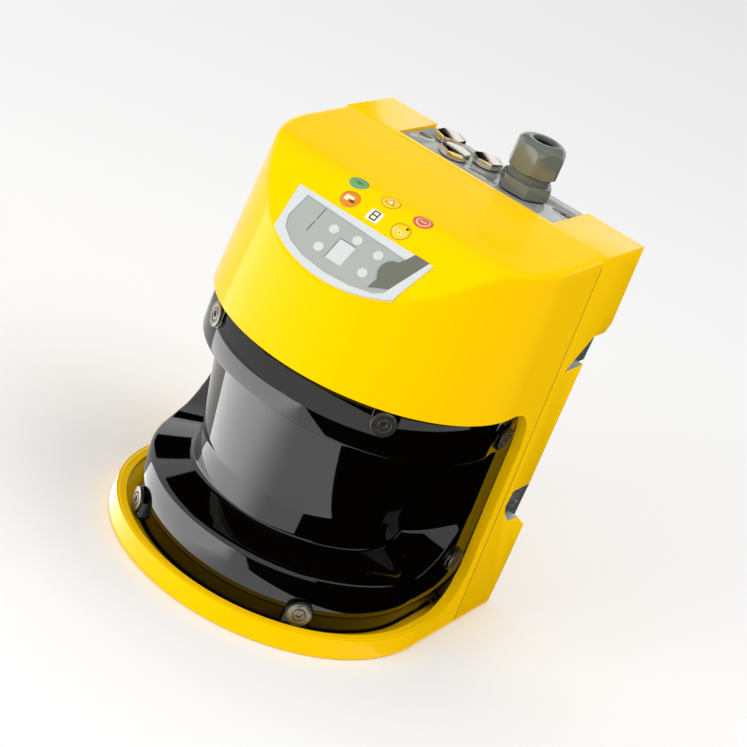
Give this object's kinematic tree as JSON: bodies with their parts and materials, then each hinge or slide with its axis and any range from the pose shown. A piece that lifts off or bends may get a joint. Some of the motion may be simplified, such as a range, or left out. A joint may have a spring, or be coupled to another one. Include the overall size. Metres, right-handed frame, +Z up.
{
  "type": "safety laser scanner",
  "caption": "Safety laser scanner: yellow cast housing round a black optics cover, sloping status display, plug plate with cable gland, rotating scan mirror inside.",
  "frame": {"origin": "where the scan mirror's axis meets the base plane", "axes": "+Z up along the mirror's axis, -Y to the front where the display and window face, +Y to the mounting side, +X to the device's left as seen from inside, which is the viewer's right from the front"},
  "size_m": [0.155, 0.157, 0.209],
  "materials": {
    "housing_paint": "satin powder coat",
    "seal_rubber": "matte",
    "screw_steel": "plain",
    "cover_plastic": "glossy, infrared-transparent",
    "cover_screw_steel": "burnished dark",
    "bezel_plastic": "satin",
    "display_lens": "clear",
    "panel_plastic": "satin",
    "lamp_plastic": "clear diffuse",
    "digit_plastic": "satin",
    "circuit_board": "satin",
    "plate_paint": "satin",
    "plug_nickel": "nickel plated",
    "gland_plastic": "satin",
    "connector_plastic": "satin",
    "contact_brass": "plated",
    "bare_aluminium": "machined",
    "lens_glass": "polished",
    "copper_iron": "lacquered",
    "rotor_steel": "turned",
    "magnet_black": "plain",
    "rotor_plastic": "matte",
    "mirror_coat": "first surface"
  },
  "bodies": {
    "scanner": {"front_housing": "housing_paint", "rear_housing": "housing_paint", "seam_seal": "seal_rubber", "housing_screws": "screw_steel", "optics_cover": "cover_plastic", "cover_seal_high": "seal_rubber", "cover_seal_low": "seal_rubber", "cover_screws": "cover_screw_steel", "display_bezel": "bezel_plastic", "display_window": "display_lens", "display_panel": "panel_plastic", "status_lamps": "lamp_plastic", "digit_display": "digit_plastic", "display_board": "circuit_board", "plug_plate": "plate_paint", "plate_gasket": "seal_rubber", "plate_screws": "screw_steel", "blanking_plugs": "plug_nickel", "plug_washers": "seal_rubber", "gland_washer": "seal_rubber", "gland_body": "gland_plastic", "gland_nut": "gland_plastic", "gland_seal": "seal_rubber", "gland_locknut": "gland_plastic", "plug_block": "connector_plastic", "plug_contacts": "contact_brass", "device_socket": "connector_plastic", "optics_chassis": "bare_aluminium", "lens_holder": "connector_plastic", "receiver_lens": "lens_glass", "laser_module": "contact_brass", "laser_spider": "connector_plastic", "board_posts": "screw_steel", "receiver_board": "circuit_board", "photodiode": "bare_aluminium", "motor_base": "bare_aluminium", "motor_screws": "screw_steel", "motor_bearings": "screw_steel", "motor_stator": "copper_iron", "encoder_sensor": "connector_plastic", "emitter_board": "circuit_board", "emitter_posts": "screw_steel", "window_emitters": "connector_plastic", "receiver_ring_board": "circuit_board", "receiver_posts": "screw_steel", "window_receivers": "connector_plastic", "main_board": "circuit_board", "board_spacers": "screw_steel", "board_screws": "screw_steel", "processor_shield": "bare_aluminium", "ribbon_connector": "connector_plastic"},
    "rotor": {"rotor_bell": "rotor_steel", "rotor_magnet": "magnet_black", "rotor_shaft": "screw_steel", "encoder_disc": "bare_aluminium", "mirror_carrier": "rotor_plastic", "scan_mirror": "mirror_coat"}
  },
  "joints": [
    {"name": "mirror_spin", "type": "hinge", "parent": "scanner", "child": "rotor", "pos_m": [0, 0, 0.05], "axis": [0, 0, 1], "continuous": true}
  ]
}
